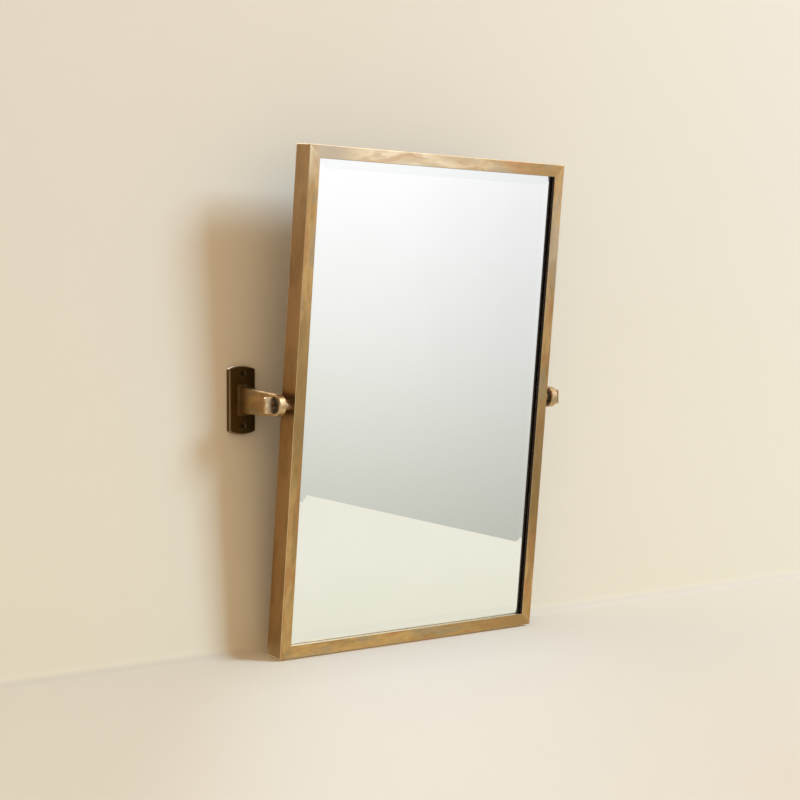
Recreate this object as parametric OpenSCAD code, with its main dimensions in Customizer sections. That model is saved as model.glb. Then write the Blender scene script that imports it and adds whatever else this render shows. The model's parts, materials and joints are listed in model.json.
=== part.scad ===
// Pivot wall mirror: a bevelled mirror in a mitred brass frame, hung between two wall brackets.
// The origin lies on the wall, at the middle of the four wall screw holes.
// +X is to the viewer's right, +Y goes into the wall and +Z is up. Lengths are in millimetres.

/* [Mirror frame] */
// Overall width of the mirror frame
frame_w = 508; // [320:1:900]
// Overall height of the mirror frame
frame_h = 762; // [460:1:1200]
// Depth of the frame from its front to its back
frame_d = 34.5; // [31:0.5:50]
// Width of the tube behind the front lip
tube_w = 12.5; // [11:0.5:20]
// How far the front lip reaches past the tube, over the glass
lip_reach = 7; // [4:0.5:12]
// Thickness of the front lip
lip_t = 6; // [5:0.5:9]
// Wall thickness of the tube and the lip
tube_wall = 1.5; // [1:0.1:2]
// Radius of the eased long edges
edge_r = 0.9; // [0.3:0.1:1.4]
// Radius of the frame's four outer corners, seen from the front
corner_r = 1.8; // [0.5:0.1:3]
// Tilt of the mirror at rest, with its top outward
rest_tilt = 6; // [-10:0.5:10]

/* [Corner joints] */
// Length of each leg of the key inside a mitred corner
key_leg = 45; // [25:1:70]
// Size of the key from front to back
key_d = 18; // [8:0.5:24]

/* [Mirror glass] */
// Thickness of the mirror glass
glass_t = 5; // [4:0.5:7]
// Width of the bevel, from the edge of the glass
bevel_w = 20; // [13:0.5:35]
// How much thinner the glass is at its edge
bevel_drop = 1.4; // [0.4:0.1:2.5]
// Gap between the edge of the glass and the tube
glass_gap = 1; // [0.5:0.1:2.5]

/* [Backing] */
// Thickness of the foam sheet behind the glass
foam_t = 1; // [0.5:0.1:2]
// Thickness of the backing board
board_t = 4; // [3:0.5:6]
// Thickness of the sheet that the retaining clips are bent from
clip_t = 1.2; // [0.8:0.1:2]
// Width of a retaining clip
clip_w = 14; // [8:1:24]
// Reach of a retaining clip over the backing board
clip_reach = 12; // [6:0.5:20]
// Length of the clip's leg along the tube
clip_leg = 12; // [9:0.5:13]
// Distance of the outer clips from the frame's corners
clip_from_corner = 110; // [90:1:135]
// Distance of the middle clips from the pivot's height
clip_from_pivot = 80; // [40:1:95]

/* [Bumper pads] */
// Diameter of the soft pads on the back of the frame
pad_dia = 9; // [5:0.5:10]
// Thickness of the soft pads
pad_t = 2; // [1:0.5:5]
// Distance of the pads' centres from the frame's ends
pad_from_end = 8; // [6:0.5:20]

/* [Pivot] */
// Diameter of the screw that the mirror turns on
screw_d = 8; // [5:0.5:10]
// Gap between the frame's side and the bracket arm
arm_gap = 13.5; // [6:0.5:30]
// Diameter of the spacer collar between frame and arm
spacer_dia = 16; // [14:0.5:22]
// Height of the threaded block inside the frame's side tube
insert_h = 30; // [18:1:50]
// Size of the threaded block from front to back
insert_d = 24; // [16:0.5:27]
// Outer diameter of the bushing in the arm's eye
bushing_dia = 12.5; // [12:0.5:18]
// Diameter of the friction washers
washer_dia = 25; // [20:0.5:27]
// Thickness of the friction washers
washer_t = 1.2; // [0.8:0.1:2]
// Depth of the recess for the washer on the arm's outer face
outer_recess = 2.5; // [2.2:0.1:4]

/* [Thumb screws] */
// Diameter of the thumb screw's neck
neck_dia = 10; // [10:0.5:12]
// Gap between the arm's eye and the paddle
paddle_gap = 1.8; // [1.6:0.1:10]
// Length of the paddle along the screw
paddle_l = 13.8; // [8:0.1:30]
// Height of the paddle across the screw
paddle_h = 24; // [15:0.5:40]
// Thickness of the paddle at its rim
paddle_t = 5; // [4:0.1:7]
// Thickness of the paddle between its two dished faces
paddle_web = 3; // [2:0.1:3.8]
// Width of the rim above, below and at the outer end of the dished faces
paddle_rim = 1.8; // [1:0.1:3]
// Corner radius of the paddle
paddle_r = 3; // [1:0.5:3.5]
// Corner radius of the dished faces
dish_r = 1.5; // [0.5:0.1:3]

/* [Bracket arm] */
// Distance from the wall to the pivot axis
stand_off = 97; // [80:1:160]
// Thickness of the arm at its eye, along the wall
arm_t = 12.5; // [9:0.5:20]
// Thickness of the arm at its foot. The arm widens on its outer side.
arm_root_t = 14.5; // [12.5:0.5:18]
// Radius of the arm's round front end
arm_end_r = 16.5; // [14.5:0.5:19]
// How far the pivot lies below the middle of the arm's foot
eye_drop = 5; // [0:0.5:8]
// Height of the arm where it meets its foot
arm_root_h = 40; // [38:1:50]
// Width of the chamfer along the arm's edges
arm_chamfer = 1.2; // [0.4:0.1:2]
// How far the foot stands out round the arm
foot_rim = 3.5; // [1:0.1:5]
// Thickness of the foot
foot_t = 2; // [1:0.1:5]

/* [Wall plate] */
// Width of the wall plate
plate_w = 46.4; // [36:0.1:70]
// Height of the wall plate
plate_h = 103.4; // [100:0.1:140]
// Thickness of the wall plate
plate_t = 8.4; // [6.5:0.1:14]
// Radius of the plate's arched ends
plate_end_r = 58; // [45:0.5:90]
// Radius of the plate's corners, between its sides and its arched ends
plate_corner_r = 3; // [2:0.5:8]
// Chamfer round the plate's front edge
plate_chamfer = 1.4; // [0.5:0.1:3]
// Vertical distance between the two wall screw holes
hole_spacing = 79; // [74:0.5:82]
// Diameter of the wall screw holes
hole_dia = 5.6; // [4:0.1:6.5]
// Diameter of the wall screws' countersinks at the plate's face
sink_dia = 11; // [9:0.1:12]

/* [Fasteners] */
// Thread diameter of the screws that hold the arm to its plate
arm_screw_d = 5; // [4:0.5:6]
// Head diameter of the arm screws
arm_head_d = 9.6; // [9:0.1:11]
// Distance between the two arm screws
arm_screw_pitch = 22; // [14:1:26]
// How deep the arm screws go into the arm
arm_screw_in = 16; // [8:0.5:30]
// Thread diameter of the clip screws
clip_screw_d = 3; // [2:0.1:4]
// Head diameter of the clip screws
clip_head_d = 6; // [5:0.1:7.5]
// Head height of the clip screws
clip_head_h = 2; // [1.2:0.1:3]
// Length of the clip screws below their heads
clip_screw_l = 6.5; // [4.5:0.1:9]

/* [Fits] */
// Radial clearance of a turning fit
run_gap = 0.05; // [0.02:0.01:0.1]
// Clearance of a piece that is slid into its place
slip_gap = 0.15; // [0.05:0.05:0.3]
// End gap between faces that turn on each other
face_gap = 0.1; // [0.05:0.05:0.3]

/* [Hidden] */
$fn = 64;
// Facets of a round that is blended into flats
blend_fn = 48;
// Steps of a quarter round on an eased edge
edge_steps = 4;
// Steps of a long arc, such as the plate's arched end
arch_steps = 20;
// Steps of each corner of the plate
plate_corner_steps = 6;
// How far a cut runs past the piece that it cuts
over = 1;
// Gap between the tip of the thumb screw and the far wall of the tube
tip_gap = 1;

face_w = tube_w + lip_reach;
glass_overlap = lip_reach - glass_gap;
glass_w = frame_w - 2 * (tube_w + glass_gap);
glass_h = frame_h - 2 * (tube_w + glass_gap);
hollow_w = tube_w - 2 * tube_wall;

// Depths behind the front of the frame. The bevel bears on the lip's inner edge.
glass_front = lip_t + face_gap - bevel_drop * (1 - glass_overlap / bevel_w);
glass_back = glass_front + glass_t;
board_front = glass_back + foam_t;
board_back = board_front + board_t;
clip_screw_depth = board_back + clip_t + (clip_leg - clip_t) / 2;

// Places along X, counted from the middle of the mirror
side_x = frame_w / 2;
arm_in_x = side_x + arm_gap;
arm_out_x = arm_in_x + arm_t;
root_out_x = arm_in_x + arm_root_t;
plate_x = (arm_in_x + root_out_x) / 2;
outer_washer_x = arm_out_x - outer_recess;
neck_x = outer_washer_x + washer_t + face_gap;
paddle_x = arm_out_x + paddle_gap;
screw_tip_x = side_x - tube_w + tube_wall + tip_gap;

recess_dia = washer_dia + 2 * slip_gap;
screw_bore = screw_d + 2 * run_gap;

BRASS = [0.62, 0.45, 0.23];
DARK_BRASS = [0.42, 0.31, 0.16];
SILVERED = [0.86, 0.89, 0.88];
FIBRE = [0.16, 0.13, 0.11];
STEEL = [0.55, 0.56, 0.58];
ZINC = [0.7, 0.71, 0.72];
BOARD = [0.13, 0.12, 0.11];
FOAM = [0.9, 0.9, 0.88];
RUBBER = [0.13, 0.13, 0.13];
NYLON = [0.9, 0.88, 0.82];

// Points of a round stretch about c from angle a0 to a1
function arc(c, r, a0, a1, steps = edge_steps) =
  [for (i = [0:steps]) let (a = a0 + (a1 - a0) * i / steps) c + r * [cos(a), sin(a)]];

// Points of a rectangle about the origin with round corners
function round_rect(w, h, r) = concat(
  arc([w / 2 - r, h / 2 - r], r, 0, 90),
  arc([r - w / 2, h / 2 - r], r, 90, 180),
  arc([r - w / 2, r - h / 2], r, 180, 270),
  arc([w / 2 - r, r - h / 2], r, 270, 360)
);

// Moves a piece drawn about the mirror's centre to the pivot axis, tilted as at rest.
module in_mirror() {
  translate([0, -stand_off, -eye_drop]) rotate([rest_tilt, 0, 0]) children();
}

// Moves a piece drawn about the pivot axis on an arm to its height and distance from the wall.
module on_pivot() {
  translate([0, -stand_off, -eye_drop]) children();
}

// Draws a right-hand piece on the given side: 1 is right and -1 is left.
module on_side(side) {
  if (side > 0) children();
  else mirror([1, 0, 0]) children();
}

// A cylinder along +X from x0 to x1
module x_rod(x0, x1, dia) {
  translate([x0, 0, 0]) rotate([0, 90, 0]) cylinder(h = x1 - x0, d = dia);
}

// A cylinder along +Y from y0 to y1, which may be a cone
module y_rod(y0, y1, dia0, dia1) {
  translate([0, y0, 0]) rotate([-90, 0, 0]) cylinder(h = y1 - y0, d1 = dia0, d2 = dia1);
}

// Section of a frame bar: x runs inward from the outer side and y back from the front.
module bar_outline() {
  polygon(concat(
    arc([edge_r, edge_r], edge_r, 180, 270),
    arc([face_w - edge_r, edge_r], edge_r, 270, 360),
    arc([face_w - edge_r, lip_t - edge_r], edge_r, 0, 90),
    [[tube_w, lip_t]],
    arc([tube_w - edge_r, frame_d - edge_r], edge_r, 0, 90),
    arc([edge_r, frame_d - edge_r], edge_r, 90, 180)
  ));
}

module bar_hollow() {
  polygon([
    [tube_wall, tube_wall], [face_w - tube_wall, tube_wall],
    [face_w - tube_wall, lip_t - tube_wall], [tube_w - tube_wall, lip_t - tube_wall],
    [tube_w - tube_wall, frame_d - tube_wall], [tube_wall, frame_d - tube_wall]
  ]);
}

// A bar of the frame along X with 45 degree mitres. Its outer side is at z = 0, facing up.
// Its two outer corners are rounded as far as the mitres.
module bar(length) {
  reach = face_w + over;
  round_x = length / 2 - corner_r;
  intersection() {
    rotate([0, 90, 0]) linear_extrude(length + 2 * over, center = true) difference() {
      bar_outline();
      bar_hollow();
    }
    rotate([90, 0, 0]) translate([0, 0, -frame_d - over]) linear_extrude(frame_d + 2 * over)
      polygon(concat(
        [[-round_x, over], [round_x, over]],
        arc([round_x, -corner_r], corner_r, 90, 45),
        [[length / 2 - reach, -reach], [reach - length / 2, -reach]],
        arc([-round_x, -corner_r], corner_r, 135, 90)
      ));
  }
}

// Places drawn from a side of the frame: z = 0 is its outer side and y = 0 its front.
module at_top() { translate([0, -frame_d / 2, frame_h / 2]) children(); }
module at_bottom() { translate([0, -frame_d / 2, -frame_h / 2]) rotate([0, 180, 0]) children(); }
module at_right() { translate([side_x, -frame_d / 2, 0]) rotate([0, 90, 0]) children(); }
module at_left() { translate([-side_x, -frame_d / 2, 0]) rotate([0, -90, 0]) children(); }

// Clip places along a rail and along a stile
rail_clips = [for (s = [-1, 1]) s * (frame_w / 2 - clip_from_corner)];
stile_clips = concat(
  [for (s = [-1, 1]) s * (frame_h / 2 - clip_from_corner)],
  [for (s = [-1, 1]) s * clip_from_pivot]
);

// Repeats a piece drawn at the inner side of the tube at each of the given places.
module at_clips(places) {
  for (x = places) translate([x, 0, -tube_w]) children();
}

module at_all_clips() {
  at_top() at_clips(rail_clips) children();
  at_bottom() at_clips(rail_clips) children();
  at_left() at_clips(stile_clips) children();
  at_right() at_clips(stile_clips) children();
}

module clip_screw_hole(z0, z1) {
  translate([0, clip_screw_depth, z0]) cylinder(h = z1 - z0, d = clip_screw_d + 2 * run_gap);
}

module drilled_bar(length, places) {
  difference() {
    bar(length);
    at_clips(places) clip_screw_hole(-over, tube_wall + over);
  }
}

module stile(side) {
  difference() {
    if (side > 0) at_right() drilled_bar(frame_h, stile_clips);
    else at_left() drilled_bar(frame_h, stile_clips);
    on_side(side) x_rod(side_x - tube_wall - over, side_x + over, screw_bore);
  }
}

module rail_top() {
  color(BRASS) in_mirror() at_top() drilled_bar(frame_w, rail_clips);
}

module rail_bottom() {
  color(BRASS) in_mirror() at_bottom() drilled_bar(frame_w, rail_clips);
}

module stile_left() {
  color(BRASS) in_mirror() stile(-1);
}

module stile_right() {
  color(BRASS) in_mirror() stile(1);
}

// An angle key that fills the hollow of two bars at a mitred corner
module corner_key() {
  key_w = hollow_w - 2 * slip_gap;
  inset = tube_wall + slip_gap;
  rotate([90, 0, 0]) linear_extrude(key_d, center = true) polygon([
    [-inset, -inset], [-inset - key_leg, -inset], [-inset - key_leg, -inset - key_w],
    [-inset - key_w, -inset - key_w], [-inset - key_w, -inset - key_leg], [-inset, -inset - key_leg]
  ]);
}

module corner_keys() {
  color(ZINC) in_mirror()
    for (sx = [0, 1]) for (sz = [0, 1])
      mirror([sx, 0, 0]) mirror([0, 0, sz]) translate([side_x, 0, frame_h / 2]) corner_key();
}

// Section of the glass across one direction: flat front at y = 0, back at y = glass_t
module glass_section(width) {
  polygon([
    [-width / 2, bevel_drop], [bevel_w - width / 2, 0], [width / 2 - bevel_w, 0],
    [width / 2, bevel_drop], [width / 2, glass_t], [-width / 2, glass_t]
  ]);
}

module mirror_glass() {
  color(SILVERED) in_mirror() translate([0, glass_front - frame_d / 2, 0]) intersection() {
    linear_extrude(glass_h, center = true) glass_section(glass_w);
    rotate([0, 90, 0]) linear_extrude(glass_w, center = true) glass_section(glass_h);
  }
}

// A sheet of the glass's width and height between two depths
module sheet(depth0, depth1) {
  translate([-glass_w / 2, depth0 - frame_d / 2, -glass_h / 2])
    cube([glass_w, depth1 - depth0, glass_h]);
}

module foam_sheet() {
  color(FOAM) in_mirror() sheet(glass_back, board_front);
}

module backing_board() {
  color(BOARD) in_mirror() sheet(board_front, board_back);
}

// A bent clip: one leg on the tube, one on the board
module retaining_clip() {
  difference() {
    union() {
      translate([-clip_w / 2, board_back, -clip_reach]) cube([clip_w, clip_t, clip_reach]);
      translate([-clip_w / 2, board_back, -clip_t]) cube([clip_w, clip_leg, clip_t]);
    }
    clip_screw_hole(-clip_t - over, over);
  }
}

module retaining_clips() {
  color(ZINC) in_mirror() at_all_clips() retaining_clip();
}

module clip_screw() {
  translate([0, clip_screw_depth, 0]) {
    translate([0, 0, -clip_t - clip_head_h]) cylinder(h = clip_head_h, d = clip_head_d);
    translate([0, 0, -clip_t]) cylinder(h = clip_screw_l, d = clip_screw_d);
  }
}

module clip_screws() {
  color(ZINC) in_mirror() at_all_clips() clip_screw();
}

module bumper_pads() {
  color(RUBBER) in_mirror()
    for (sx = [-1, 1]) for (sz = [-1, 1])
      translate([sx * (side_x - tube_w / 2), 0, sz * (frame_h / 2 - pad_from_end)])
        y_rod(frame_d / 2, frame_d / 2 + pad_t, pad_dia, pad_dia);
}

// The threaded block that the pivot screw goes into, inside the side tube
module pivot_insert(side) {
  inset = tube_wall + slip_gap;
  length = hollow_w - 2 * slip_gap;
  color(STEEL) in_mirror() on_side(side) difference() {
    translate([side_x - inset - length, -insert_d / 2, -insert_h / 2])
      cube([length, insert_d, insert_h]);
    x_rod(side_x - inset - length - over, side_x, screw_bore);
  }
}

module pivot_insert_left() { pivot_insert(-1); }
module pivot_insert_right() { pivot_insert(1); }

module spacer(side) {
  color(BRASS) in_mirror() on_side(side) difference() {
    x_rod(side_x, arm_in_x - face_gap, spacer_dia);
    x_rod(side_x - over, arm_in_x + over, screw_bore);
  }
}

module spacer_left() { spacer(-1); }
module spacer_right() { spacer(1); }

// An upright slab from x0 to x1, as thick as the paddle's rim
module paddle_slab(x0, x1, height, radius) {
  translate([(x0 + x1) / 2, 0, 0]) rotate([90, 0, 0])
    linear_extrude(paddle_t, center = true) polygon(round_rect(x1 - x0, height, radius));
}

// The flat paddle, dished on both faces inside a rim that is open towards the neck
module paddle() {
  end_x = paddle_x + paddle_l;
  difference() {
    paddle_slab(paddle_x, end_x, paddle_h, paddle_r);
    for (s = [-1, 1]) translate([0, s * (paddle_t + paddle_web) / 2, 0])
      paddle_slab(paddle_x - dish_r - over, end_x - paddle_rim, paddle_h - 2 * paddle_rim, dish_r);
  }
}

// A thumb screw: threaded shank, neck and paddle
module thumb_screw(side) {
  color(BRASS) on_pivot() on_side(side) {
    x_rod(screw_tip_x, neck_x + over, screw_d);
    x_rod(neck_x, paddle_x + over, neck_dia);
    paddle();
  }
}

module thumb_screw_left() { thumb_screw(-1); }
module thumb_screw_right() { thumb_screw(1); }

// A friction washer in a recess of the arm, from x0 outward
module friction_washer(side, x0) {
  color(FIBRE) on_pivot() on_side(side) difference() {
    x_rod(x0, x0 + washer_t, washer_dia);
    x_rod(x0 - over, x0 + washer_t + over, screw_d + 2 * slip_gap);
  }
}

module inner_washer_left() { friction_washer(-1, arm_in_x); }
module inner_washer_right() { friction_washer(1, arm_in_x); }
module outer_washer_left() { friction_washer(-1, outer_washer_x); }
module outer_washer_right() { friction_washer(1, outer_washer_x); }

module bushing(side) {
  color(NYLON) on_pivot() on_side(side) difference() {
    x_rod(arm_in_x + washer_t, outer_washer_x, bushing_dia);
    x_rod(arm_in_x, arm_out_x, screw_bore);
  }
}

module bushing_left() { bushing(-1); }
module bushing_right() { bushing(1); }

// The arm's body: a flat bar that tapers from its foot to a round end about the pivot
module arm_body() {
  hull() {
    translate([0, -stand_off, -eye_drop]) {
      x_rod(arm_in_x, arm_out_x, 2 * (arm_end_r - arm_chamfer), $fn = blend_fn);
      x_rod(arm_in_x + arm_chamfer, arm_out_x - arm_chamfer, 2 * arm_end_r, $fn = blend_fn);
    }
    translate([arm_in_x, -plate_t - foot_t, arm_chamfer - arm_root_h / 2])
      cube([arm_root_t, foot_t, arm_root_h - 2 * arm_chamfer]);
    translate([arm_in_x + arm_chamfer, -plate_t - foot_t, -arm_root_h / 2])
      cube([arm_root_t - 2 * arm_chamfer, foot_t, arm_root_h]);
  }
}

// The foot: a low pad round the arm's root, against the wall plate
module arm_foot() {
  foot_w = arm_root_t + 2 * foot_rim;
  foot_h = arm_root_h + 2 * foot_rim;
  translate([plate_x, -plate_t, 0]) rotate([90, 0, 0])
    linear_extrude(foot_t) polygon(round_rect(foot_w, foot_h, foot_rim));
}

// Repeats a piece drawn on the wall plane at both arm screws.
module at_arm_screws() {
  for (s = [-1, 1]) translate([plate_x, 0, s * arm_screw_pitch / 2]) children();
}

module arm(side) {
  color(DARK_BRASS) on_side(side) difference() {
    union() {
      arm_body();
      arm_foot();
    }
    translate([0, -stand_off, -eye_drop]) {
      x_rod(arm_in_x - over, root_out_x + over, bushing_dia);
      x_rod(arm_in_x - over, arm_in_x + washer_t, recess_dia);
      x_rod(outer_washer_x, root_out_x + over, recess_dia);
    }
    at_arm_screws() y_rod(-plate_t - arm_screw_in - over, over - plate_t,
                          arm_screw_d + 2 * run_gap, arm_screw_d + 2 * run_gap);
  }
}

module arm_left() { arm(-1); }
module arm_right() { arm(1); }

// Points of the upper half of the wall plate's outline, inset by c all round.
// The corner arcs run into the side and into the arched end without a step.
function plate_half(c) = let (
  w = plate_w / 2 - plate_corner_r,
  end_z = plate_h / 2 - plate_end_r,
  reach = plate_end_r - plate_corner_r,
  rise = sqrt(reach * reach - w * w),
  a = atan2(rise, w)
) concat(
  arc([w, end_z + rise], plate_corner_r - c, 0, a, plate_corner_steps),
  arc([0, end_z], plate_end_r - c, a, 180 - a, arch_steps),
  arc([-w, end_z + rise], plate_corner_r - c, 180 - a, 180, plate_corner_steps)
);

module plate_outline(c) {
  polygon(concat(plate_half(c), [for (p = plate_half(c)) -p]));
}

module plate_blank() {
  hull() rotate([90, 0, 0]) {
    linear_extrude(plate_t - plate_chamfer) plate_outline(0);
    linear_extrude(plate_t) plate_outline(plate_chamfer);
  }
}

// A countersunk hole for a wall screw, sunk from the plate's front
module wall_screw_hole() {
  sink_depth = (sink_dia - hole_dia) / 2;
  y_rod(-plate_t - over, over, hole_dia, hole_dia);
  y_rod(-plate_t, sink_depth - plate_t, sink_dia, hole_dia);
  y_rod(-plate_t - over, -plate_t, sink_dia, sink_dia);
}

// The space of an arm screw: its shank hole and its countersink in the plate's back
module arm_screw_space(gap) {
  head_depth = (arm_head_d - arm_screw_d) / 2;
  y_rod(-plate_t - over, over, arm_screw_d + 2 * gap, arm_screw_d + 2 * gap);
  y_rod(-head_depth, 0, arm_screw_d + 2 * gap, arm_head_d + 2 * gap);
  y_rod(0, over, arm_head_d + 2 * gap, arm_head_d + 2 * gap);
}

module wall_plate(side) {
  color(DARK_BRASS) on_side(side) difference() {
    translate([plate_x, 0, 0]) plate_blank();
    for (s = [-1, 1]) translate([plate_x, 0, s * hole_spacing / 2]) wall_screw_hole();
    at_arm_screws() arm_screw_space(slip_gap);
  }
}

module wall_plate_left() { wall_plate(-1); }
module wall_plate_right() { wall_plate(1); }

// A countersunk screw from the back of the plate into the arm
module arm_screw() {
  head_depth = (arm_head_d - arm_screw_d) / 2;
  y_rod(-plate_t - arm_screw_in, -head_depth, arm_screw_d, arm_screw_d);
  y_rod(-head_depth, 0, arm_screw_d, arm_head_d);
}

module arm_screws(side) {
  color(STEEL) on_side(side) at_arm_screws() arm_screw();
}

module arm_screws_left() { arm_screws(-1); }
module arm_screws_right() { arm_screws(1); }

rail_top();
rail_bottom();
stile_left();
stile_right();
corner_keys();
mirror_glass();
foam_sheet();
backing_board();
retaining_clips();
clip_screws();
bumper_pads();
pivot_insert_left();
pivot_insert_right();
spacer_left();
spacer_right();
thumb_screw_left();
thumb_screw_right();
inner_washer_left();
inner_washer_right();
outer_washer_left();
outer_washer_right();
bushing_left();
bushing_right();
arm_left();
arm_right();
wall_plate_left();
wall_plate_right();
arm_screws_left();
arm_screws_right();
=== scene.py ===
"""Pivot wall mirror: the looks, stage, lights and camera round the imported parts.

Lengths are in metres, in the frame of the parts: X to the viewer's right, Y into the wall and Z up,
with the origin on the wall at the middle of the four wall screw holes.
"""

import json
import logging
import math
from dataclasses import dataclass, field
from enum import Enum
from typing import Any, ClassVar, Iterable

import bmesh
import bpy
from mathutils import Matrix, Vector


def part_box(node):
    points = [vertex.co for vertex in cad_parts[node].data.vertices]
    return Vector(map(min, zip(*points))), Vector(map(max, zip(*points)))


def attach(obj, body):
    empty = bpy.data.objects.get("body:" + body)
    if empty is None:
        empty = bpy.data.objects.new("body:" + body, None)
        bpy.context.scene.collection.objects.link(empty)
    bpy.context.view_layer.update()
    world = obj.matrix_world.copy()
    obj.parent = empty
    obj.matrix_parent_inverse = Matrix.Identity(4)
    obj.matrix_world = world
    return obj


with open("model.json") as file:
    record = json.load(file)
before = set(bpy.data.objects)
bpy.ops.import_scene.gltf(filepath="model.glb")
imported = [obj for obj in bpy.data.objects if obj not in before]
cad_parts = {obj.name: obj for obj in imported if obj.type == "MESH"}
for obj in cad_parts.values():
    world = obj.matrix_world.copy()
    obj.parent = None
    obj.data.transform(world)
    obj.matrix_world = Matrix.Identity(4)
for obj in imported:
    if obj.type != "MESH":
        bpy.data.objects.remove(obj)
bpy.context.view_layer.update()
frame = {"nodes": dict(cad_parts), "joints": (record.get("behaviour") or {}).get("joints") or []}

MM = 0.001
TOUCHING = 0.001 * MM
ON_FACE = 0.01 * MM
SHARP = math.radians(28)
FLOOR_Z = -388.5 * MM
LOG = logging.getLogger("pivot_mirror")

Colour = tuple[float, float, float]
Way = tuple[float, float, float]

BLACK: Colour = (0.0, 0.0, 0.0)
WHITE: Colour = (1.0, 1.0, 1.0)


class Side(Enum):
    """The two sides of the mirror, as signs along X."""

    LEFT = -1
    RIGHT = 1

    @property
    def word(self) -> str:
        """The side's name in lower case."""
        return self.name.lower()


class Grain(Enum):
    """The way that a surface was rubbed, as the squeeze of its pattern along X, Y and Z."""

    ALONG_X = (0.3, 1.0, 1.0)
    ALONG_Y = (1.0, 0.3, 1.0)
    ALONG_Z = (1.0, 1.0, 0.3)
    ROUND = (1.0, 1.0, 1.0)


# ---------------------------------------------------------------- shader maths


class Wire:
    """A shader value that Python's operators combine into Math nodes."""

    def __init__(self, net: "ShaderNet", socket: bpy.types.NodeSocket) -> None:
        """Holds one output socket of a net."""
        self.net = net
        self.socket = socket

    def __add__(self, other: "Value") -> "Wire":
        """Sum."""
        return self.net.math("ADD", self, other)

    __radd__ = __add__

    def __sub__(self, other: "Value") -> "Wire":
        """Difference."""
        return self.net.math("SUBTRACT", self, other)

    def __rsub__(self, other: "Value") -> "Wire":
        """Difference from a plain number."""
        return self.net.math("SUBTRACT", other, self)

    def __mul__(self, other: "Value") -> "Wire":
        """Product."""
        return self.net.math("MULTIPLY", self, other)

    __rmul__ = __mul__

    def __abs__(self) -> "Wire":
        """Absolute value."""
        return self.net.math("ABSOLUTE", self)


Value = Wire | float


@dataclass(frozen=True)
class Band:
    """A stretch of a value over which a tone comes in smoothly, from none of it to its full share.

    The end lies below the start where the tone comes in as the value falls.
    """

    start: float
    end: float
    share: float = 1.0


def rgba(colour: Colour) -> tuple[float, float, float, float]:
    """The colour with an alpha of 1."""
    return (*colour, 1.0)


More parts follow.
